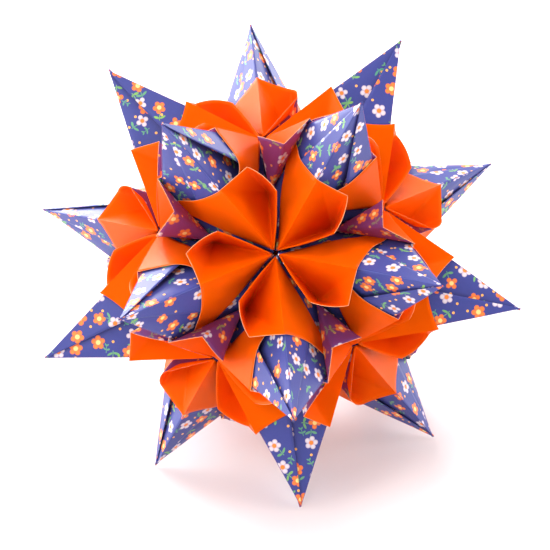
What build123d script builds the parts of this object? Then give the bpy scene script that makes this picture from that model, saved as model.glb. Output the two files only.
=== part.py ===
from build123d import *
import math
import os

os.makedirs("parts", exist_ok=True)

# Overall sizes of the ball, in millimetres
tip_radius = 59.5
flower_radius = 30.1

# Paper sheet and the clearance between stacked layers
paper = 0.15
layer_gap = 0.07
pitch = paper + layer_gap

# Folded petal along the spike ridge, and how far its tail stays short of a square corner
petal_length = 20.0
tail_trim = 3.2

# Rim corners of the cup, along, beside and above the ridge, from the petal's end and the flower centre
cup_corner = (-1.32, -7.6, -2.56)
cup_shoulder = (11.28, -8.96, 1.24)

# Bulge of the rim between those corners
lip_bulge = 0.55

# Hem folded back behind the cup's side edge, tapering to nothing at a share of the edge's length
hem_width = 1.5
hem_set_in = 1.2
hem_start = 0.4

# Small openings and set-backs where many layers of paper meet
flower_hole = 0.9
apex_hole = 0.8
body_setback = 0.8
corner_setback = 1.6
valley_setback = 0.25

# Angles of the icosahedron that carries the flowers
flower_tilt = math.degrees(math.atan(2))
edge_half = flower_tilt / 2
tip_lean = math.degrees(math.asin(math.sqrt((3 - math.sqrt(5)) / 6)))


def direction(tilt, turn):
    """Unit vector from the angle to +Z and the angle round it."""
    a = math.radians(tilt)
    b = math.radians(turn)
    return Vector(math.sin(a) * math.cos(b), math.sin(a) * math.sin(b), math.cos(a))


def meet(p, q, r):
    """Point shared by three planes, each given as (normal, distance)."""
    n1, d1 = p
    n2, d2 = q
    n3, d3 = r
    top = n2.cross(n3) * d1 + n3.cross(n1) * d2 + n1.cross(n2) * d3
    return top * (1 / n1.dot(n2.cross(n3)))


def through(a, b, c, inside):
    """Plane through three points with its normal turned towards a fourth."""
    n = (b - a).cross(c - a).normalized()
    if n.dot(inside - a) < 0:
        n = n * -1
    return (n, n.dot(a))


def inner(plane):
    """The other side of a sheet whose front lies on this plane."""
    return (plane[0], plane[1] - paper)


def raised(plane, height):
    """A plane moved along its normal."""
    return (plane[0], plane[1] + height)


def facet(front, edges):
    """One flat panel of paper, mitred where it folds into its neighbours."""
    back_edges = [inner(e[0]) if e[1] else e[0] for e in edges]
    front_edges = [e[0] for e in edges]
    count = len(edges)
    outline_front = [meet(front, front_edges[i - 1], front_edges[i]) for i in range(count)]
    back = inner(front)
    outline_back = [meet(back, back_edges[i - 1], back_edges[i]) for i in range(count)]
    sheet = Plane(origin=outline_front[0], x_dir=outline_front[1] - outline_front[0], z_dir=front[0])
    under = sheet.offset(-paper)
    with BuildSketch(under) as back_face:
        Polygon(*[tuple(under.to_local_coords(v))[:2] for v in outline_back], align=None)
    with BuildSketch(sheet) as front_face:
        Polygon(*[tuple(sheet.to_local_coords(v))[:2] for v in outline_front], align=None)
    loft([back_face.sketch.face(), front_face.sketch.face()], ruled=True)


# Flower centres and spike tips round one edge of the icosahedron
flower_a = direction(edge_half, 180) * flower_radius
flower_b = direction(edge_half, 0) * flower_radius
tip = direction(tip_lean, 90) * tip_radius
tip_other = direction(tip_lean, -90) * tip_radius
middle = (flower_a + flower_b) * 0.5
tip_axis = Axis((0, 0, 0), tuple(tip))
flower_c = flower_b.rotate(tip_axis, -240)
middle_flap = (flower_a + flower_c) * 0.5

# Faces of the two spikes that the module spans, at their stacked heights
body_face = through(tip, flower_a, flower_b, tip * 2)
flap_face = through(tip, flower_c, flower_a, tip * 2)
far_face = through(tip_other, flower_a, flower_b, tip_other * 2)
body_plane = raised(body_face, -pitch)
far_plane = raised(far_face, -pitch)

# Directions along the ridge, across it and away from the ball
ridge = (tip - flower_a).normalized()
flower_up = flower_a.normalized()
ridge_up = (flower_up - ridge * flower_up.dot(ridge)).normalized()
ridge_side = ridge_up.cross(ridge)
face_rise = ridge_up.dot(flap_face[0])
across_flap = flap_face[0].cross(ridge).normalized()
across_flap = across_flap * math.copysign(1, across_flap.dot(flower_c - flower_a))
across_body = body_face[0].cross(tip - flower_b).normalized()
across_body = across_body * math.copysign(1, across_body.dot(flower_b - flower_a))


def beside(start, offset):
    """Point given along, beside and above the ridge, from a start on it."""
    x, y, z = offset
    return start + ridge * x + ridge_side * y + ridge_up * z


def cut(point, normal):
    """Plane that trims paper, kept on the side the normal points away from."""
    n = normal.normalized()
    return (n, n.dot(point))


def edge_cut(a, b, c, inside):
    """Trim plane through three points, turned away from the paper it keeps."""
    n, d = through(a, b, c, inside)
    return (n * -1, -d)


# Corners of the petal on its orange side
petal_start = flower_a + ridge * flower_hole + ridge_up * (0.25 * pitch / face_rise)
ridge_stop = flower_a + ridge * petal_length
petal_end = ridge_stop + ridge_up * (2 * pitch / face_rise)
tail_width = petal_length - tail_trim
tail_corner = ridge_stop + across_flap * tail_width + flap_face[0] * pitch
pocket = meet(raised(body_face, 2 * pitch), cut(middle, Vector(1, 0, 0)),
              (Vector(0, 1, 0), valley_setback))
corner = beside(ridge_stop, cup_corner)
shoulder = beside(flower_a, cup_shoulder)
cup_side = beside(flower_a, (petal_length / 2, cup_corner[1] / 2, petal_length / 2))
rim_chord = through(pocket, corner, shoulder, cup_side)
lip = (corner + shoulder) * 0.5 - rim_chord[0] * lip_bulge

# Panels of the petal and the cup
tail = through(petal_start, petal_end, tail_corner, cup_side)
floor = through(petal_start, petal_end, pocket, cup_side)
wall_one = through(petal_end, pocket, corner, cup_side)
wall_two = through(pocket, corner, lip, cup_side)
wall_three = through(pocket, lip, shoulder, cup_side)
wall_four = through(pocket, shoulder, petal_start, cup_side)

# Raw edges and tucked edges of the petal
start_back = meet(inner(floor), inner(tail), inner(wall_four))
end_back = meet(inner(floor), inner(tail), inner(wall_one))
raw_edge = edge_cut(petal_end, end_back, tail_corner, petal_start)
tail_fold = edge_cut(petal_start, start_back, tail_corner - ridge * tail_trim, petal_end)
tail_tuck = cut(tail_corner, across_flap)
rim_one = edge_cut(petal_end, end_back, corner, pocket)
corner_back = meet(inner(wall_one), inner(wall_two), rim_one)
rim_two = edge_cut(corner, corner_back, lip, pocket)
lip_back = meet(inner(wall_two), inner(wall_three), rim_two)
rim_three = edge_cut(lip, lip_back, shoulder, pocket)
rim_four = edge_cut(petal_start, petal_start + wall_four[0], shoulder, pocket)
pocket_away = pocket - (petal_end + corner + shoulder + petal_start) * 0.25
pocket_hole = cut(pocket - pocket_away.normalized() * apex_hole, pocket_away)

# Hem of the side edge: a strip over the fold, then a tapered layer behind the wall
wall_back = (wall_four[0] * -1, paper - wall_four[1])
hem = (wall_four[0] * -1, 2 * paper + layer_gap - wall_four[1])
side_edge = (shoulder - petal_start).normalized()
inward = side_edge.cross(wall_four[0])
inward = inward * math.copysign(1, inward.dot(pocket - shoulder))
hem_corner = shoulder - side_edge * hem_set_in
hem_end = petal_start + (shoulder - petal_start) * hem_start
hem_top = cut(hem_corner, side_edge)
hem_foot = cut(hem_end, side_edge * -1)
hem_raw = edge_cut(hem_end, hem_end + wall_four[0], hem_corner + inward * hem_width, shoulder)

# Edges of the printed body and of the flap that laps the next spike face
fold_top = meet(body_plane, flap_face, cut(tip, tip))
flap_edge = edge_cut(fold_top, middle_flap, middle_flap + flap_face[0], flower_a)
flap_fold = edge_cut(flower_a, flower_a + flap_face[0], flower_a + ridge + across_flap, tip)
flap_hole = cut(flower_a + ridge * flower_hole, ridge * -1)
body_edge = cut(tip - across_body * body_setback, across_body)
body_hole = cut(flower_a + (middle - flower_a).normalized() * corner_setback, flower_a - middle)
body_end = cut(flower_b + (middle - flower_b).normalized() * corner_setback, flower_b - middle)

# Half of a module: one spike ridge with its petal tail and its cup
with BuildPart() as half:
    facet(body_plane, [(body_edge, False), (body_end, False), (far_plane, True),
                       (body_hole, False), (flap_face, True)])
    facet(flap_face, [(body_plane, True), (flap_hole, False), (flap_fold, False),
                      (flap_edge, False)])
    facet(tail, [(floor, True), (tail_fold, False), (tail_tuck, False), (raw_edge, False)])
    facet(floor, [(tail, True), (wall_one, True), (pocket_hole, False), (wall_four, True)])
    facet(wall_one, [(floor, True), (rim_one, False), (wall_two, True), (pocket_hole, False)])
    facet(wall_two, [(wall_one, True), (rim_two, False), (wall_three, True),
                     (pocket_hole, False)])
    facet(wall_three, [(wall_two, True), (rim_three, False), (wall_four, True),
                       (pocket_hole, False)])
    facet(wall_four, [(wall_three, True), (rim_four, False), (floor, True),
                      (pocket_hole, False)])
    facet(rim_four, [(wall_back, False), (hem_top, False), (hem, True), (hem_foot, False)])
    facet(hem, [(rim_four, True), (hem_top, False), (hem_raw, False)])

# Whole module: two halves turned about the middle of the edge
with BuildPart() as module:
    add(half.part)
    add(half.part.rotate(Axis.Z, 180))

# Flower directions, with one flower up and one turned towards the front
front_turn = -90
flowers = {"top": direction(0, 0), "bottom": direction(180, 0)}
for i in range(5):
    flowers[f"upper_{i + 1}"] = direction(flower_tilt, front_turn + 72 * i)
    flowers[f"lower_{i + 1}"] = direction(180 - flower_tilt, front_turn + 36 + 72 * i)

# The thirty edges, one folded module on each
edges = {}
for i in range(5):
    here = i + 1
    after = (i + 1) % 5 + 1
    edges[f"top_module_{here}"] = ("top", f"upper_{here}")
    edges[f"upper_ring_module_{here}"] = (f"upper_{here}", f"upper_{after}")
    edges[f"middle_module_{2 * i + 1}"] = (f"upper_{here}", f"lower_{here}")
    edges[f"middle_module_{2 * i + 2}"] = (f"lower_{here}", f"upper_{after}")
    edges[f"lower_ring_module_{here}"] = (f"lower_{here}", f"lower_{after}")
    edges[f"bottom_module_{here}"] = ("bottom", f"lower_{here}")

# Modules placed round the ball centre
placed = {}
for name, ends in edges.items():
    first, second = flowers[ends[0]], flowers[ends[1]]
    with BuildPart() as folded:
        with Locations(Plane(origin=(0, 0, 0), x_dir=second - first, z_dir=first + second)):
            add(module.part)
    placed[name] = folded.part

# The ball stands on its five lowest spike tips
centre_height = -min(part.bounding_box().min.Z for part in placed.values())
for name, part in placed.items():
    with BuildPart() as standing:
        with Locations((0, 0, centre_height)):
            add(part)
    standing.part.label = name
    export_step(standing.part, f"parts/{name}.step")
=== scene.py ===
import math
import random

import bpy
from mathutils import Matrix, Vector, noise


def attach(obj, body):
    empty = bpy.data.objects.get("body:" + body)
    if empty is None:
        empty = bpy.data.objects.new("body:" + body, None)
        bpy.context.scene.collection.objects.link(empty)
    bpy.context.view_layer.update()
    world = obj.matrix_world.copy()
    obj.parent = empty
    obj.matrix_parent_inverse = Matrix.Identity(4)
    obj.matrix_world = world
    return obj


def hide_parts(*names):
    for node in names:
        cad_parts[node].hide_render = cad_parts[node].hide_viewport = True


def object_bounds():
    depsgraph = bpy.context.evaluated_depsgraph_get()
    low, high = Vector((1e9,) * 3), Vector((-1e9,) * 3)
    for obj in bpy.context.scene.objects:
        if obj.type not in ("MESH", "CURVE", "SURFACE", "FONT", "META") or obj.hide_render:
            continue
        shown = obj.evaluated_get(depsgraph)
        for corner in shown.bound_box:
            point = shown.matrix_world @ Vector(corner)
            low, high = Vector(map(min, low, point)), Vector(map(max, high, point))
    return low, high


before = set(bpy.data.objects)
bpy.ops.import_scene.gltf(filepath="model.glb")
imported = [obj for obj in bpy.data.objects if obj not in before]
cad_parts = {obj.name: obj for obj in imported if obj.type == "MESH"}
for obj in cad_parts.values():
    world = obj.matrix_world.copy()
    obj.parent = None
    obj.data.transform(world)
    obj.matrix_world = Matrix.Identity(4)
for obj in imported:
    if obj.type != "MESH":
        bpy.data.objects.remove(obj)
cad_box = [list(corner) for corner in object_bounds()]

# One millimetre in metres
MM = 0.001

# Sizes of the ball in millimetres, the same as the CAD part's
TIP_RADIUS = 59.5
FLOWER_RADIUS = 30.1
PITCH = 0.22
PETAL_LENGTH = 20.0
TAIL_TRIM = 3.2
CUP_CORNER = (-1.32, -7.6, -2.56)
CUP_SHOULDER = (11.28, -8.96, 1.24)
LIP_BULGE = 0.55
VALLEY_SETBACK = 0.25
CORNER_SETBACK = 1.6

# Middle of the standing ball in millimetres
CENTRE = Vector((0, 0, (cad_box[0][2] + cad_box[1][2]) / 2 / MM))

# Sizes set for the looks, a little apart from the CAD part's
PAPER = 0.11
FLOWER_HOLE = 0.95
BODY_SETBACK = 0.7
SIDE_BULGE = 0.15
START_RISE = 0.3

# How much more than away from the ridge the body's corner is drawn back across the body
CORNER_LEAN = 1.6

# Shares of a spike face's height: its cut tip, the body's taper there and the flap's cut foot
TIP_CUT = 0.012
TIP_TAPER = 0.06
FOOT_CUT = 0.035

# Angles of the icosahedron that carries the flowers
FLOWER_TILT = math.atan(2)
TIP_LEAN = math.asin(math.sqrt((3 - math.sqrt(5)) / 6))
FRONT_TURN = math.radians(-90)
FIFTH_TURN = 72

# Steps of the paper's fine grid, across and along each panel
BODY_STEPS = (12, 24)
FLAP_STEPS = (10, 24)
TAIL_STEPS = 14
PETAL_STEPS = 16
CUP_RINGS = 14
CUFF_STEPS = 3


# Points and planes

def direction(tilt, turn):
    """Unit vector from the angle to +Z and the angle round it."""
    flat = math.sin(tilt)
    return Vector((flat * math.cos(turn), flat * math.sin(turn), math.cos(tilt)))


def meet(p, q, r):
    """Point shared by three planes, each given as (normal, distance)."""
    top = q[0].cross(r[0]) * p[1] + r[0].cross(p[0]) * q[1] + p[0].cross(q[0]) * r[1]
    return top / p[0].dot(q[0].cross(r[0]))


def through(a, b, c, inside):
    """Plane through three points with its normal turned towards a fourth."""
    n = (b - a).cross(c - a).normalized()
    if n.dot(inside - a) < 0:
        n = -n
    return n, n.dot(a)


def raised(plane, height):
    """A plane moved along its normal."""
    return plane[0], plane[1] + height


def cut(point, normal):
    """Plane through a point."""
    n = normal.normalized()
    return n, n.dot(point)


def smooth(x):
    """Ease from 0 to 1."""
    x = min(max(x, 0.0), 1.0)
    return x * x * (3 - 2 * x)


# One module in its own frame: X along the edge between two flowers, Z away from the ball

flower_a = direction(FLOWER_TILT / 2, math.pi) * FLOWER_RADIUS
flower_b = direction(FLOWER_TILT / 2, 0) * FLOWER_RADIUS
tip = direction(TIP_LEAN, math.pi / 2) * TIP_RADIUS
middle = (flower_a + flower_b) / 2
flower_c = Matrix.Rotation(math.radians(120), 3, tip) @ flower_b
body_face = through(tip, flower_a, flower_b, tip * 2)
flap_face = through(tip, flower_c, flower_a, tip * 2)
body_plane = raised(body_face, -PITCH)

ridge = (tip - flower_a).normalized()
ridge_length = (tip - flower_a).length
flower_up = flower_a.normalized()
ridge_up = (flower_up - ridge * flower_up.dot(ridge)).normalized()
ridge_side = ridge_up.cross(ridge)
face_rise = ridge_up.dot(flap_face[0])
across_flap = flap_face[0].cross(ridge).normalized()
if across_flap.dot(flower_c - flower_a) < 0:
    across_flap = -across_flap
across_body = body_face[0].cross(ridge).normalized()
if across_body.dot(flower_b - flower_a) < 0:
    across_body = -across_body


def beside(start, offset):
    """Point given along, beside and above the ridge, from a start on it."""
    return start + ridge * offset[0] + ridge_side * offset[1] + ridge_up * offset[2]


ridge_stop = flower_a + ridge * PETAL_LENGTH
petal_start = flower_a + ridge * FLOWER_HOLE + ridge_up * (START_RISE * PITCH / face_rise)
petal_end = ridge_stop + ridge_up * (2 * PITCH / face_rise)
tail_width = PETAL_LENGTH - TAIL_TRIM
tail_corner = ridge_stop + across_flap * tail_width + flap_face[0] * PITCH
tail_bend = tail_corner - ridge * TAIL_TRIM
pocket = meet(raised(body_face, 2 * PITCH), cut(middle, Vector((1, 0, 0))),
              (Vector((0, 1, 0)), VALLEY_SETBACK))
corner = beside(ridge_stop, CUP_CORNER)
shoulder = beside(flower_a, CUP_SHOULDER)
cup_side = beside(flower_a, (PETAL_LENGTH / 2, CUP_CORNER[1] / 2, PETAL_LENGTH / 2))
fold_top = meet(body_plane, flap_face, cut(tip, tip))
fold_foot = meet(body_plane, flap_face, cut(flower_a, ridge))
flap_corner = flower_a + (ridge + across_flap) * (ridge_length * (1 - math.sqrt(0.5)))


# Paper sheets as meshes

class Sheet:
    """Points joined into faces, each with its visible side and its place on the flat paper."""

    def __init__(self):
        self.points = []
        self.faces = []
        self.flats = []
        self.sides = []
        self.known = {}

    def add(self, point):
        """Number of a point, shared with any panel that folds at the same place."""
        key = tuple(round(c, 4) for c in point)
        if key not in self.known:
            self.known[key] = len(self.points)
            self.points.append(point)
        return self.known[key]

    def grid(self, rows, flats, side, closed=False):
        """Joins rows of points into quads, or triangles where points meet."""
        numbers = [[self.add(p) for p in row] for row in rows]
        width = len(rows[0])
        for j in range(len(rows) - 1):
            for i in range(width - 1 + closed):
                k = (i + 1) % width
                face, flat = [], []
                for row, column in ((j, i), (j, k), (j + 1, k), (j + 1, i)):
                    if numbers[row][column] not in face:
                        face.append(numbers[row][column])
                        flat.append(flats[row][column])
                if len(face) > 2:
                    self.faces.append(face)
                    self.flats.append(flat)
                    self.sides.append(side if isinstance(side, int) else side(i, j))


# A slot n is the front of a sheet, with its back in slot n + 1 and its raw edge in slot n + 3
PRINT, TAIL, CUP, CUFF = 0, 1, 5, 9
BACK, EDGE = 1, 3

# A lifted flap: the width of its bend, its curve across and along, and where the petal holds it
LIFT_WIDTH = PETAL_LENGTH * 0.43
LIFT_CURVE = 1.1
LIFT_MOST = 1.25
LIFT_TAPER = 0.3
HELD_SHARE = 0.35
HELD_LENGTH = 5
HELD_FADE = 14
TUCK_START = 0.4
TUCK_FADE = 0.5

# A low fold on the open half of each spike face, in shares of its width and height
CREASE_PLACE = 0.25
CREASE_RISE = 0.7
CREASE_END = 0.38
CREASE_FADE = 0.1

# Bends of the petal's tail
START_BOW = 0.15
HOLLOW_SKEW = 0.8

# Bulge of each rim of the cup and softness of each of its folds, from the flower outwards
RIM_BULGES = (0.0, 0.0, LIP_BULGE, SIDE_BULGE)
FOLD_SOFTNESS = (0.75, 0.35, 0.8, 1.0)
SOFTEN_PASSES = 10
SOFTEN_STEP = 0.25
RIM_HOLD = 5

# The strip folded back along the cup's side edge
CUFF_WIDTH = 1.9
CUFF_NARROWING = 0.75
CUFF_INSET = 0.02
CUFF_GAP = 0.2
CUFF_SPRING = 0.25

# Distance on the flat paper between the two halves of a module
FLAT_SHIFT = 60


def flap_height(x, y, lift):
    """How far a lifted flap stands off the spike, x along the ridge and y across the face."""
    across = (y / LIFT_WIDTH) ** LIFT_CURVE if y > 0 else 0.0
    to_tip = (ridge_length - x) / (ridge_length - PETAL_LENGTH)
    along = min(max(to_tip, 0.0), 1.0) ** LIFT_TAPER
    near_flower = HELD_SHARE + (1 - HELD_SHARE) * smooth((x - HELD_LENGTH) / HELD_FADE)
    tucked = 1 - smooth((y / tail_width - TUCK_START) / TUCK_FADE)
    return lift * min(across, LIFT_MOST) * along * near_flower * tucked


def crease_height(across, down, size):
    """A low old fold that runs from the tip down the open half of a spike face."""
    ramp = max(0.0, 1 - abs(across - CREASE_PLACE) / CREASE_PLACE)
    return CREASE_RISE * size * ramp * down * (1 - smooth((down - CREASE_END) / CREASE_FADE))


def body_panel(sheet, look):
    """The printed spike face from its ridge to just short of the next ridge."""
    rows, flats = [], []
    across_steps, down_steps = BODY_STEPS
    base = flower_b - flower_a
    inward = (body_face[0].cross(ridge_side) + across_body * CORNER_LEAN).normalized()
    for j in range(down_steps + 1):
        down = TIP_CUT + (1 - TIP_CUT) * j / down_steps
        width = max(0.0, base.length * down - BODY_SETBACK * smooth(down / TIP_TAPER))
        row, flat = [], []
        for i in range(across_steps + 1):
            across = i / across_steps
            p = fold_top + (fold_foot - fold_top) * down
            p += base * (across * width / base.length)
            p += body_face[0] * crease_height(across, down, look["concave"])
            hole = (p - flower_a).length
            if hole < CORNER_SETBACK:
                p += inward * (CORNER_SETBACK - hole)
            row.append(p)
            d = p - flower_a
            flat.append((d.dot(ridge), -d.dot(across_body) if i > 0 else 0.0))
        rows.append(row[::-1])
        flats.append(flat[::-1])
    sheet.grid(rows, flats, PRINT)


def flap_panel(sheet, look):
    """The printed flap that laps the next spike face up to its middle."""
    rows, flats = [], []
    across_steps, down_steps = FLAP_STEPS
    for j in range(down_steps + 1):
        down = TIP_CUT + (1 - TIP_CUT - FOOT_CUT) * j / down_steps
        row, flat = [], []
        for i in range(across_steps + 1):
            foot = fold_foot + (flap_corner - fold_foot) * (i / across_steps)
            p = fold_top + (foot - fold_top) * down
            d = p - flower_a
            x, y = d.dot(ridge), d.dot(across_flap)
            if i > 0:
                p += flap_face[0] * flap_height(x, y, look["lift"])
            row.append(p)
            flat.append((x, y))
        rows.append(row)
        flats.append(flat)
    sheet.grid(rows, flats, PRINT)


def tail_panel(sheet, look):
    """The orange tail of the petal, which slides under the next cup."""
    rows, flats = [], []
    for j in range(PETAL_STEPS + 1):
        along = j / PETAL_STEPS
        near = petal_start + (petal_end - petal_start) * along
        far = tail_bend + (tail_corner - tail_bend) * along
        row, flat = [], []
        for i in range(TAIL_STEPS + 1):
            across = i / TAIL_STEPS
            p = near + (far - near) * across
            p -= ridge * (look["concave"] * along * math.sin(math.pi * across ** HOLLOW_SKEW))
            p += across_flap * (START_BOW * (1 - along) * math.sin(math.pi * across))
            d = p - flower_a
            x, y = d.dot(ridge), d.dot(across_flap)
            p += flap_face[0] * flap_height(x, y, look["lift"])
            row.append(p)
            flat.append((x, y))
        rows.append(row[::-1])
        flats.append(flat[::-1])
    sheet.grid(rows, flats, TAIL)


def cup_rim(look):
    """Points round the cup's rim, bowed and bulged between its four corners."""
    mouth = [beside(corner, look["corner"]), beside(shoulder, look["shoulder"])]
    corners = [petal_start, petal_end] + mouth
    bows = [0.0, look["bow_in"], look["bow_out"], look["bow_side"]]
    rim = []
    for n in range(4):
        start, end = corners[n], corners[(n + 1) % 4]
        along = (end - start).normalized()
        away = (start + end) / 2 - pocket
        away = (away - along * away.dot(along)).normalized()
        out = -through(pocket, start, end, cup_side)[0] * RIM_BULGES[n]
        for i in range(PETAL_STEPS):
            s = i / PETAL_STEPS
            rim.append(start + (end - start) * s + (away * bows[n] + out) * (4 * s * (1 - s)))
    return rim


def soften(rings):
    """Rounds the cup's folds inside its rim, each by its own softness."""
    count = len(rings[0])
    half = PETAL_STEPS // 2
    softness = [0.0] * count
    for n, soft in enumerate(FOLD_SOFTNESS):
        for i in range(-half, half):
            softness[(n * PETAL_STEPS + i) % count] = soft
    for j, ring in enumerate(rings[1:-1], 1):
        hold = 1 - (j / CUP_RINGS) ** RIM_HOLD
        weights = [SOFTEN_STEP * soft * hold for soft in softness]
        for _ in range(SOFTEN_PASSES):
            pulls = [ring[i - 1] + ring[(i + 1) % count] - 2 * p for i, p in enumerate(ring)]
            ring[:] = [p + pull * weight for p, pull, weight in zip(ring, pulls, weights)]


def cup_flats(rings, rim):
    """Places on the flat paper, unrolled round the bottom of the pocket."""
    turns = []
    turn = 0.0
    for i, p in enumerate(rim):
        turns.append(turn)
        turn += (p - pocket).angle(rim[(i + 1) % len(rim)] - pocket)
    flats = []
    for ring in rings:
        reach = [(p - pocket).length for p in ring]
        flats.append([(r * math.cos(a), r * math.sin(a)) for r, a in zip(reach, turns)])
    return flats


def cup_panels(sheet, look):
    """The cup: a pocket of four panels with soft folds and a crisp rim."""
    rim = cup_rim(look)
    side_start = 3 * PETAL_STEPS
    rings = []
    for j in range(CUP_RINGS + 1):
        rings.append([pocket + (p - pocket) * (j / CUP_RINGS) for p in rim])
    soften(rings)

    def side(i, j):
        return CUFF if j == CUP_RINGS - 1 and i >= side_start else CUP

    sheet.grid(rings, cup_flats(rings, rim), side, closed=True)
    cuff_panel(sheet, rim[side_start:] + rim[:1])


def cuff_panel(sheet, edge):
    """The strip folded back outside the cup along its side edge."""
    outside = -through(pocket, shoulder, petal_start, corner)[0]
    rows, flats = [], []
    for step in range(CUFF_STEPS + 1):
        depth = step / CUFF_STEPS
        row = []
        for i, p in enumerate(edge):
            s = i / (len(edge) - 1)
            width = CUFF_WIDTH * smooth(s * 3) * (1 - CUFF_NARROWING * s)
            back = (pocket - p).normalized() * (CUFF_INSET + width * depth)
            off = outside * (CUFF_GAP + CUFF_SPRING * math.sin(math.pi * s) * depth)
            row.append(p + back + off)
        rows.append(row)
        flats.append([(p.x, p.y) for p in row])
    sheet.grid(rows, flats, CUFF)


def half_sheet(look):
    """Half a module: one spike ridge with its flap, its petal's tail and its cup."""
    half = Sheet()
    body_panel(half, look)
    flap_panel(half, look)
    tail_panel(half, look)
    cup_panels(half, look)
    return half


def module_sheet(looks):
    """A whole module: one half, then the other turned about the middle of the edge."""
    sheet = Sheet()
    first, second = half_sheet(looks[0]), half_sheet(looks[1])
    half_turn = Matrix.Rotation(math.pi, 3, "Z")
    second.points = [half_turn @ p for p in second.points]
    second.flats = [[(-x - FLAT_SHIFT, -y) for x, y in flat] for flat in second.flats]
    for half in (first, second):
        start = len(sheet.points)
        sheet.points += half.points
        sheet.faces += [[start + n for n in face] for face in half.faces]
        sheet.flats += half.flats
        sheet.sides += half.sides
    return sheet


# Materials

class Graph:
    """Short calls for building a material's nodes."""

    def __init__(self, name):
        self.material = bpy.data.materials.new(name)
        self.material.use_nodes = True
        self.tree = self.material.node_tree
        self.shader = self.tree.nodes["Principled BSDF"]
        self.surface = self.tree.nodes["Material Output"].inputs["Surface"]

    def feed(self, value, socket):
        """Links another node's output, or sets a plain value."""
        if isinstance(value, bpy.types.NodeSocket):
            self.tree.links.new(value, socket)
        else:
            socket.default_value = value

    def node(self, kind, inputs=(), **settings):
        """A new node with its settings and what its inputs are given."""
        made = self.tree.nodes.new("ShaderNode" + kind)
        for key, value in settings.items():
            setattr(made, key, value)
        for key, value in dict(inputs).items():
            self.feed(value, made.inputs[key])
        return made

    def math(self, operation, a, b=0.0, c=0.0, clamp=False):
        made = self.node("Math", {0: a, 1: b, 2: c}, operation=operation, use_clamp=clamp)
        return made.outputs[0]

    def vector(self, operation, a, b=(0, 0, 0), output="Vector"):
        return self.node("VectorMath", {0: a, 1: b}, operation=operation).outputs[output]

    def blend(self, factor, a, b):
        made = self.node("Mix", data_type="RGBA")
        for key, value in (("Factor", factor), ("A", a), ("B", b)):
            self.feed(value, next(s for s in made.inputs if s.name == key and s.enabled))
        return next(s for s in made.outputs if s.enabled)

    def inside(self, distance, edge, blur=0.05):
        """1 where distance is under edge, with a short soft step."""
        depth = self.math("SUBTRACT", edge, distance)
        return self.math("MULTIPLY_ADD", depth, 1 / blur, 0.5, clamp=True)


def srgb(red, green, blue):
    """Linear colour from the 0 to 255 values that a screen shows."""
    def linear(v):
        v /= 255
        return v / 12.92 if v <= 0.04045 else ((v + 0.055) / 1.055) ** 2.4
    return linear(red), linear(green), linear(blue), 1.0


# Paper fibres: spots and bumps per metre, and the depth of the bumps in metres
CLOUD_SCALE = 900.0
FIBRE_SCALE = 4200.0
FIBRE_DEPTH = 0.05 * MM
PAPER_GLOSS = 0.2


def paper_surface(graph, colour, rough, grain, fibre, through=None, glow=0.0, gloss=PAPER_GLOSS):
    """Finish shared by every paper: faint fibres, a low gloss and some light let through."""
    place = graph.node("TexCoord").outputs["Object"]
    clouds = {"Vector": place, "Scale": CLOUD_SCALE, "Detail": 4.0}
    fibres = {"Vector": place, "Scale": FIBRE_SCALE, "Detail": 3.0}
    cloud = graph.node("TexNoise", clouds).outputs["Fac"]
    fine = graph.node("TexNoise", fibres).outputs["Fac"]
    shade = graph.math("MULTIPLY_ADD", cloud, grain, 1 - grain / 2)
    shade = graph.math("MULTIPLY_ADD", fine, grain, graph.math("SUBTRACT", shade, grain / 2))
    plain = colour if isinstance(colour, bpy.types.NodeSocket) else colour[:3]
    tinted = graph.node("VectorMath", {0: plain, "Scale": shade}, operation="SCALE")
    bump = graph.node("Bump", {"Strength": fibre, "Distance": FIBRE_DEPTH, "Height": fine})
    shader = graph.shader.inputs
    graph.feed(tinted.outputs["Vector"], shader["Base Color"])
    graph.feed(bump.outputs["Normal"], shader["Normal"])
    shader["Roughness"].default_value = rough
    shader["Specular IOR Level"].default_value = gloss
    if through:
        lit = graph.node("BsdfTranslucent", {"Color": through}).outputs[0]
        mix = graph.node("MixShader", {0: glow, 1: graph.shader.outputs[0], 2: lit})
        graph.feed(mix.outputs[0], graph.surface)


# Sizes of the print in millimetres
BLOOM_SPACING = 5.55
PETAL_REACH = 0.96
PETAL_ROUND = 0.6
PETAL_RIM = 0.17
DISC = PETAL_REACH * 0.85
HEART = 0.52
STEM = 0.09
STEM_MIDDLE = 2.05
STEM_REACH = 1.0
TWIG_SPACING = 5.1
TWIG_STEM = 0.08
TWIG_REACH = 0.95
TWIG_CLEARANCE = 1.9
SEED_SPACING = 2.9
SEED_SIZE = 0.31
SEED_CLEARANCE = 1.75

# Scatter of the motifs, and the stretch of place that draws a flower smaller or larger
BLOOM_SCATTER = 0.55
BLOOM_STRETCH = 1.08
STRETCH_CHANGE = -0.16
TWIG_SCATTER = 0.7
SEED_SCATTER = 0.8

# Shares of the motifs, and of the glow that a flower takes away
FOUR_PETAL_SHARE = 0.2
WHITE_SHARE = 0.56
SPRIG_SHARE = 0.55
TWIG_SHARE = 0.24
SEED_SHARE = 0.5
BLOOM_SHADE = 0.85

# Nearly a full turn in radians, and the number that scrambles a flower's kind into its sprig's turn
MOTIF_TURN = 6.283
TURN_SCRAMBLE = 7.3

# Soft steps at the edges of the motifs in millimetres, a leaf's in shares of its size
RIM_BLUR = 0.25
HEART_BLUR = 0.14
STEM_BLUR = 0.08
STEM_END_BLUR = 0.1
LEAF_BLUR = 0.25

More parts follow.
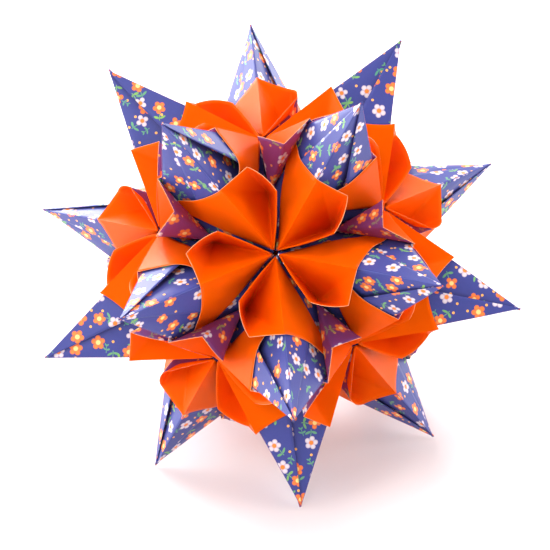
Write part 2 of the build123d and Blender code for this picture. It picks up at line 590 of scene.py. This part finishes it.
INDIGO = srgb(63, 68, 134)
PETAL_WHITE = srgb(216, 205, 211)
PETAL_WHITE_RIM = srgb(192, 172, 190)
PETAL_ORANGE = srgb(240, 128, 62)
PETAL_ORANGE_RIM = srgb(224, 108, 70)
HEART_ORANGE = srgb(238, 132, 56)
HEART_CREAM = srgb(246, 214, 134)
SEED = srgb(250, 178, 92)
LEAF = srgb(130, 178, 84)
LEAF_TEAL = srgb(86, 150, 124)


def motifs(graph, place, spacing, scatter, nearest="F1"):
    """Centre of the nearest or next motif on the sheet, and three random numbers for it."""
    inputs = {"Vector": place, "Scale": 1 / spacing, "Randomness": scatter}
    cells = graph.node("TexVoronoi", inputs, voronoi_dimensions="2D", feature=nearest)
    numbers = graph.node("SeparateColor", {0: cells.outputs["Color"]}).outputs
    return cells.outputs["Position"], numbers


def flower_motifs(graph, place, nearest="F1"):
    """The nearest or next flower, which sprigs, twigs and seeds are placed by as well."""
    return motifs(graph, place, BLOOM_SPACING, BLOOM_SCATTER, nearest)


def clear_of_flowers(graph, centre, clearance):
    """1 where a motif's centre keeps this distance from the nearest flower's."""
    bloom, _ = flower_motifs(graph, centre)
    distance = graph.vector("DISTANCE", centre, bloom, output="Value")
    return graph.math("GREATER_THAN", distance, clearance)


def turned(graph, place, centre, share):
    """Place measured from a motif's centre, and turned with it by a share of a full turn."""
    local = graph.vector("SUBTRACT", place, centre)
    angle = graph.math("MULTIPLY", share, MOTIF_TURN)
    spin = graph.node("VectorRotate", {"Vector": local, "Angle": angle}, rotation_type="Z_AXIS")
    x, y, _ = graph.node("SeparateXYZ", {0: spin.outputs["Vector"]}).outputs
    return x, y


def length_of(graph, x, y):
    """Length of a vector from its two parts."""
    squares = graph.math("ADD", graph.math("MULTIPLY", x, x), graph.math("MULTIPLY", y, y))
    return graph.math("SQRT", squares)


def blossoms(graph, place, ground):
    """Flowers with four or five round petals, in white and orange."""
    centre, (kind, spin, size) = flower_motifs(graph, place)
    x, y = turned(graph, place, centre, spin)
    grow = graph.math("MULTIPLY_ADD", size, STRETCH_CHANGE, BLOOM_STRETCH)
    x, y = graph.math("MULTIPLY", x, grow), graph.math("MULTIPLY", y, grow)
    radius = length_of(graph, x, y)
    petals = graph.math("SUBTRACT", 5.0, graph.math("LESS_THAN", size, FOUR_PETAL_SHARE))
    sector = graph.math("DIVIDE", 2 * math.pi, petals)
    share = graph.math("FRACT", graph.math("DIVIDE", graph.math("ARCTAN2", y, x), sector))
    angle = graph.math("MULTIPLY", graph.math("SUBTRACT", share, 0.5), sector)
    along = graph.math("MULTIPLY", radius, graph.math("COSINE", angle))
    along = graph.math("SUBTRACT", along, PETAL_REACH)
    across = graph.math("MULTIPLY", radius, graph.math("SINE", angle))
    lobe = length_of(graph, along, across)
    disc = graph.inside(radius, DISC)
    outline = graph.math("MAXIMUM", graph.inside(lobe, PETAL_ROUND), disc)
    white = graph.math("LESS_THAN", kind, WHITE_SHARE)
    rim = graph.inside(PETAL_ROUND - PETAL_RIM, lobe, RIM_BLUR)
    orange_petal = graph.blend(rim, PETAL_ORANGE, PETAL_ORANGE_RIM)
    white_petal = graph.blend(rim, PETAL_WHITE, PETAL_WHITE_RIM)
    colour = graph.blend(white, orange_petal, white_petal)
    heart_colour = graph.blend(white, HEART_CREAM, HEART_ORANGE)
    colour = graph.blend(graph.inside(radius, HEART, HEART_BLUR), colour, heart_colour)
    return graph.blend(outline, ground, colour), outline


def stem_side(graph, x, y, waves, depth):
    """Distance from a gently wavy stem along y, so that what stands on it comes in pairs."""
    wave = graph.math("SINE", graph.math("MULTIPLY", y, waves))
    return graph.math("ABSOLUTE", graph.math("MULTIPLY_ADD", wave, depth, x))


def leaf(graph, x, y, place, angle, long, wide):
    """1 inside a small pointed oval leaf."""
    dx, dy = graph.math("SUBTRACT", x, place[0]), graph.math("SUBTRACT", y, place[1])
    c, s = math.cos(angle), math.sin(angle)
    u = graph.math("ADD", graph.math("MULTIPLY", dx, c / long), graph.math("MULTIPLY", dy, s / long))
    forward, sideways = graph.math("MULTIPLY", dy, c / wide), graph.math("MULTIPLY", dx, s / wide)
    v = graph.math("SUBTRACT", forward, sideways)
    return graph.inside(length_of(graph, u, v), 1.0, LEAF_BLUR)


def sprigs(graph, place, ground, nearest):
    """The stem of a flower, with one pair of broad leaves."""
    centre, (kind, spin, size) = flower_motifs(graph, place, nearest)
    share = graph.math("FRACT", graph.math("MULTIPLY", kind, TURN_SCRAMBLE))
    x, y = turned(graph, place, centre, share)
    side = stem_side(graph, x, y, waves=1.7, depth=0.14)
    reach = graph.math("ABSOLUTE", graph.math("SUBTRACT", y, STEM_MIDDLE))
    width = graph.inside(side, STEM, STEM_BLUR)
    stem = graph.math("MULTIPLY", width, graph.inside(reach, STEM_REACH, STEM_END_BLUR))
    leaves = leaf(graph, side, y, place=(0.72, 2.3), angle=-0.4, long=0.66, wide=0.27)
    shape = graph.math("MAXIMUM", stem, leaves)
    shape = graph.math("MULTIPLY", shape, graph.math("LESS_THAN", size, SPRIG_SHARE))
    return graph.blend(shape, ground, graph.blend(spin, LEAF, LEAF_TEAL))


def twigs(graph, place, ground):
    """Loose twigs with two pairs of small leaves, between the flowers."""
    centre, (kind, spin, _) = motifs(graph, place, TWIG_SPACING, TWIG_SCATTER)
    free = clear_of_flowers(graph, centre, TWIG_CLEARANCE)
    x, y = turned(graph, place, centre, spin)
    side = stem_side(graph, x, y, waves=1.5, depth=0.16)
    reach = graph.math("ABSOLUTE", y)
    width = graph.inside(side, TWIG_STEM, STEM_BLUR)
    stem = graph.math("MULTIPLY", width, graph.inside(reach, TWIG_REACH, STEM_END_BLUR))
    lower = leaf(graph, side, y, place=(0.46, -0.1), angle=0.5, long=0.42, wide=0.19)
    upper = leaf(graph, side, y, place=(0.27, 0.85), angle=0.95, long=0.32, wide=0.15)
    shape = graph.math("MAXIMUM", stem, graph.math("MAXIMUM", lower, upper))
    chosen = graph.math("MULTIPLY", free, graph.math("LESS_THAN", kind, TWIG_SHARE))
    shape = graph.math("MULTIPLY", shape, chosen)
    return graph.blend(shape, ground, graph.blend(kind, LEAF_TEAL, LEAF))


def seeds(graph, place, ground):
    """Round seeds scattered in the gaps between flowers."""
    centre, (kind, _, _) = motifs(graph, place, SEED_SPACING, SEED_SCATTER)
    free = clear_of_flowers(graph, centre, SEED_CLEARANCE)
    distance = graph.vector("DISTANCE", place, centre, output="Value")
    chosen = graph.math("LESS_THAN", kind, SEED_SHARE)
    seed = graph.math("MULTIPLY", graph.inside(distance, SEED_SIZE), chosen)
    return graph.blend(graph.math("MULTIPLY", seed, free), ground, SEED)


def print_material(name, through=None, glow=0.0):
    """The printed side, whose flowers let less light through than the ground does."""
    graph = Graph(name)
    flat = graph.node("UVMap", uv_map="sheet").outputs["UV"]
    colour = twigs(graph, flat, seeds(graph, flat, INDIGO))
    colour = sprigs(graph, flat, colour, "F2")
    colour = sprigs(graph, flat, colour, "F1")
    colour, bloom = blossoms(graph, flat, colour)
    if through:
        glow = graph.math("MULTIPLY_ADD", bloom, -BLOOM_SHADE * glow, glow)
    paper_surface(graph, colour, rough=0.4, grain=0.1, fibre=0.35,
                  through=through, glow=glow, gloss=0.22)
    return graph.material


def plain_material(name, colour, rough, through=None, glow=0.0, sheen=None):
    """A side or an edge of one colour, with a tinted gloss where sheen is given."""
    graph = Graph(name)
    paper_surface(graph, colour, rough, grain=0.08, fibre=0.3, through=through, glow=glow)
    if sheen:
        graph.shader.inputs["Specular Tint"].default_value = sheen
    return graph.material


floral_print = print_material("floral_print")
# The cup's outside: a copy of the print that reflects less, as painted shade, and lets through
# magenta light that stands in for the orange light inside the cup
floral_print_cup_painted_shade = print_material("floral_print_cup_painted_shade", (0.62, 0.09, 0.3, 1), 0.4)
orange_reverse = plain_material("orange_reverse", srgb(255, 93, 0), 0.4, (1.0, 0.42, 0.04, 1), 0.28,
                                sheen=(1.0, 0.6, 0.12, 1))
# The print's raw edge is painted in the print's blue, a painted shade for the gap beneath each flap
blue_edge_painted_shade = plain_material("blue_edge_painted_shade", srgb(78, 84, 148), 0.7)
peach_edge = plain_material("peach_edge", srgb(252, 170, 122), 0.7)

# Front, back and raw edge of each kind of sheet
LOOKS = {
    PRINT: (floral_print, orange_reverse, blue_edge_painted_shade),
    TAIL: (orange_reverse, floral_print, peach_edge),
    CUP: (orange_reverse, floral_print_cup_painted_shade, peach_edge),
    CUFF: (orange_reverse, floral_print, orange_reverse),
}


def module_materials():
    """Materials in slot order, with plain orange in the slots that no sheet uses."""
    slots = [orange_reverse] * (CUFF + EDGE + 1)
    for first, (front, back, edge) in LOOKS.items():
        slots[first] = front
        slots[first + BACK] = back
        slots[first + EDGE] = edge
    return slots


# The thirty modules

flowers = {"top": direction(0, 0), "bottom": direction(math.pi, 0)}
for i in range(5):
    turn = math.radians(FIFTH_TURN * i)
    half_step = math.radians(FIFTH_TURN * i + FIFTH_TURN / 2)
    flowers[f"upper_{i + 1}"] = direction(FLOWER_TILT, FRONT_TURN + turn)
    flowers[f"lower_{i + 1}"] = direction(math.pi - FLOWER_TILT, FRONT_TURN + half_step)

edges = {}
for i in range(5):
    here = i + 1
    after = (i + 1) % 5 + 1
    edges[f"top_module_{here}"] = ("top", f"upper_{here}")
    edges[f"upper_ring_module_{here}"] = (f"upper_{here}", f"upper_{after}")
    edges[f"middle_module_{2 * i + 1}"] = (f"upper_{here}", f"lower_{here}")
    edges[f"middle_module_{2 * i + 2}"] = (f"lower_{here}", f"upper_{after}")
    edges[f"lower_ring_module_{here}"] = (f"lower_{here}", f"lower_{after}")
    edges[f"bottom_module_{here}"] = ("bottom", f"lower_{here}")


# Halves, named by their petal's flower and the flower at their far end, whose flap stands open
OPEN_FLAPS = {
    ("top", "upper_5"): 2.8,
    ("upper_2", "top"): 0.9,
    ("lower_1", "upper_2"): 0.9,
    ("lower_5", "lower_1"): 1.3,
    ("upper_5", "lower_5"): 1.6,
}

# Unevenness of each folded module in millimetres, and how quickly it changes per millimetre
WOBBLE = 0.12
WOBBLE_PITCH = 0.09

# Seed of that noise, which without one follows the clock and gives other shapes each run
NOISE_SEED = 1

# Length and width of the printed paper that the modules' sheets are cut from, in millimetres
PRINTED_LENGTH = 400

# Seed of the first module's draws, and the angle from which a fold is shaded as sharp
FIRST_SEED = 1000
SHARP_FOLD = math.radians(32)


def half_look(flower, towards, chance):
    """How one hand-folded half differs from the next."""
    return {
        "lift": OPEN_FLAPS.get((flower, towards), chance.uniform(0.5, 1.2)),
        "concave": chance.uniform(0.5, 1.1),
        "corner": [chance.uniform(-0.4, 0.4) for _ in range(3)],
        "shoulder": [chance.uniform(-0.3, 0.3) for _ in range(3)],
        "bow_in": chance.uniform(-0.35, 0.05),
        "bow_out": chance.uniform(0.2, 0.7),
        "bow_side": chance.uniform(0.1, 0.4),
    }


def place_points(points, ends, shift):
    """Points turned to the module's edge of the ball, slightly uneven, and scaled to metres."""
    first, second = flowers[ends[0]], flowers[ends[1]]
    x = (second - first).normalized()
    z = (first + second).normalized()
    turn = Matrix((x, z.cross(x), z)).transposed()
    placed = []
    for p in points:
        q = turn @ p
        q += noise.noise_vector(q * WOBBLE_PITCH + shift) * WOBBLE
        placed.append((q + CENTRE) * MM)
    return placed


def lay_print(mesh, sheet, shift, print_turn):
    """Gives each corner its place on the printed paper, and each face its slot."""
    flat = mesh.uv_layers.new(name="sheet")
    corners = [corner for face in sheet.flats for corner in face]
    for loop, (u, v) in zip(flat.data, corners):
        loop.uv = (print_turn @ Vector((u, v, 0)) + shift).xy
    for material in module_materials():
        mesh.materials.append(material)
    for face, side in zip(mesh.polygons, sheet.sides):
        face.material_index = side
        face.use_smooth = True
    mesh.set_sharp_from_angle(angle=SHARP_FOLD)


def thicken(piece):
    """Gives a sheet the thickness of paper, behind its visible side."""
    thick = piece.modifiers.new("paper", "SOLIDIFY")
    thick.thickness = PAPER * MM
    thick.offset = -1
    thick.use_even_offset = False
    thick.material_offset = BACK
    thick.material_offset_rim = EDGE


def make_module(name, ends, chance):
    """One folded module on its edge of the ball."""
    sheet = module_sheet([half_look(*ends, chance), half_look(*reversed(ends), chance)])
    shift = Vector((chance.uniform(0, PRINTED_LENGTH), chance.uniform(0, PRINTED_LENGTH), 0))
    print_turn = Matrix.Rotation(chance.uniform(0, 2 * math.pi), 3, "Z")
    mesh = bpy.data.meshes.new(name)
    mesh.from_pydata(place_points(sheet.points, ends, shift), [], sheet.faces)
    lay_print(mesh, sheet, shift, print_turn)
    piece = bpy.data.objects.new("paper_" + name, mesh)
    bpy.context.scene.collection.objects.link(piece)
    thicken(piece)
    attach(piece, "root")
    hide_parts(name)


noise.seed_set(NOISE_SEED)
for number, (name, ends) in enumerate(edges.items()):
    make_module(name, ends, random.Random(FIRST_SEED + number))


# Floor, light and camera

# Half the floor's width in metres, its colour to the camera and to the ball, and its lift; the
# camera's colour is darker and warmer, painted shade and painted orange light bounced from the ball
# into its shadow
FLOOR_REACH = 0.8
FLOOR_SEEN_PAINTED_BOUNCE = (0.74, 0.69, 0.69, 1)
FLOOR_LIT = (0.86, 0.86, 0.87, 1)
FLOOR_LIFT = 0.05

# Light from all round
WORLD_COLOUR = (0.96, 0.97, 1.0, 1)
WORLD_LIGHT = 0.4
WHITE = (1, 1, 1, 1)

# Camera, with its lens in millimetres, and where the lamps aim in metres
LENS = 105.9
CAMERA_PLACE = Vector((-3.2, -350.3, 208.0)) * MM
CAMERA_TARGET = Vector((-0.4, -2.0, 43.9)) * MM
CAMERA_ROLL = math.radians(-5.6)
BALL = (0, 0, 0.047)


def make_floor():
    """A pale floor, darker and warmer to the camera as painted shade and bounce light, and lifted a
    little towards white where the camera sees it.
    """
    near, far = -FLOOR_REACH, FLOOR_REACH
    mesh = bpy.data.meshes.new("floor")
    corners = [(near, near, 0), (far, near, 0), (far, far, 0), (near, far, 0)]
    mesh.from_pydata(corners, [], [(0, 1, 2, 3)])
    floor = bpy.data.objects.new("floor", mesh)
    bpy.context.scene.collection.objects.link(floor)
    graph = Graph("floor_white")
    camera_ray = graph.node("LightPath").outputs["Is Camera Ray"]
    graph.feed(graph.blend(camera_ray, FLOOR_LIT, FLOOR_SEEN_PAINTED_BOUNCE), graph.shader.inputs["Base Color"])
    graph.shader.inputs["Roughness"].default_value = 0.9
    white = graph.node("Emission", {"Color": WHITE, "Strength": 1.0}).outputs[0]
    seen = graph.math("MULTIPLY", camera_ray, FLOOR_LIFT)
    mix = graph.node("MixShader", {0: seen, 1: graph.shader.outputs[0], 2: white})
    graph.feed(mix.outputs[0], graph.surface)
    mesh.materials.append(graph.material)


def make_world():
    """Soft light from all round, seen as plain white by the camera and in gloss."""
    world = bpy.data.worlds.new("studio")
    bpy.context.scene.world = world
    world.use_nodes = True
    nodes, links = world.node_tree.nodes, world.node_tree.links
    light = nodes["Background"]
    light.inputs["Color"].default_value = WORLD_COLOUR
    light.inputs["Strength"].default_value = WORLD_LIGHT
    white = nodes.new("ShaderNodeBackground")
    white.inputs["Color"].default_value = WHITE
    white.inputs["Strength"].default_value = 1.0
    path = nodes.new("ShaderNodeLightPath")
    seen = path.outputs["Is Camera Ray"]
    for ray in ("Is Glossy Ray", "Is Transmission Ray"):
        either = nodes.new("ShaderNodeMath")
        either.operation = "MAXIMUM"
        links.new(seen, either.inputs[0])
        links.new(path.outputs[ray], either.inputs[1])
        seen = either.outputs[0]
    mix = nodes.new("ShaderNodeMixShader")
    links.new(seen, mix.inputs[0])
    links.new(light.outputs[0], mix.inputs[1])
    links.new(white.outputs[0], mix.inputs[2])
    links.new(mix.outputs[0], nodes["World Output"].inputs["Surface"])


def lamp(name, place, size, watts, mirrored=False):
    """A round soft lamp aimed at the ball; only a mirrored one shows as a gloss on the paper."""
    data = bpy.data.lights.new(name, "AREA")
    data.shape = "DISK"
    data.size = size
    data.energy = watts
    made = bpy.data.objects.new(name, data)
    made.visible_glossy = mirrored
    made.location = place
    made.rotation_mode = "QUATERNION"
    made.rotation_quaternion = (Vector(BALL) - Vector(place)).to_track_quat("-Z", "Y")
    bpy.context.scene.collection.objects.link(made)


def make_lamps():
    """Light from behind the ball, above, both sides and the front."""
    lamp("window", (-0.28, 0.9, 0.46), 0.8, 17.0, mirrored=True)
    lamp("window_left", (-0.85, 0.6, 0.2), 0.9, 9.5, mirrored=True)
    lamp("window_right", (0.72, 0.75, 0.22), 0.9, 8.0, mirrored=True)
    lamp("sky", (0.0, 0.15, 1.1), 1.0, 11.5)
    lamp("side_left", (-0.95, -0.1, 0.35), 0.8, 8.0, mirrored=True)
    lamp("side_right", (0.95, -0.15, 0.4), 0.9, 7.0)
    lamp("top_front", (-0.4, -0.7, 0.75), 0.7, 5.0, mirrored=True)


def make_camera():
    """The photo's view, from the front and above, tilted a little about its own axis."""
    data = bpy.data.cameras.new("camera")
    data.sensor_width = 36
    data.lens = LENS
    camera = bpy.data.objects.new("camera", data)
    aim = (CAMERA_TARGET - CAMERA_PLACE).to_track_quat("-Z", "Y")
    camera.location = CAMERA_PLACE
    camera.rotation_mode = "QUATERNION"
    camera.rotation_quaternion = aim @ Matrix.Rotation(CAMERA_ROLL, 3, "Z").to_quaternion()
    bpy.context.scene.collection.objects.link(camera)
    bpy.context.scene.camera = camera


make_floor()
make_world()
make_lamps()
make_camera()

bpy.context.scene.view_settings.view_transform = "Standard"
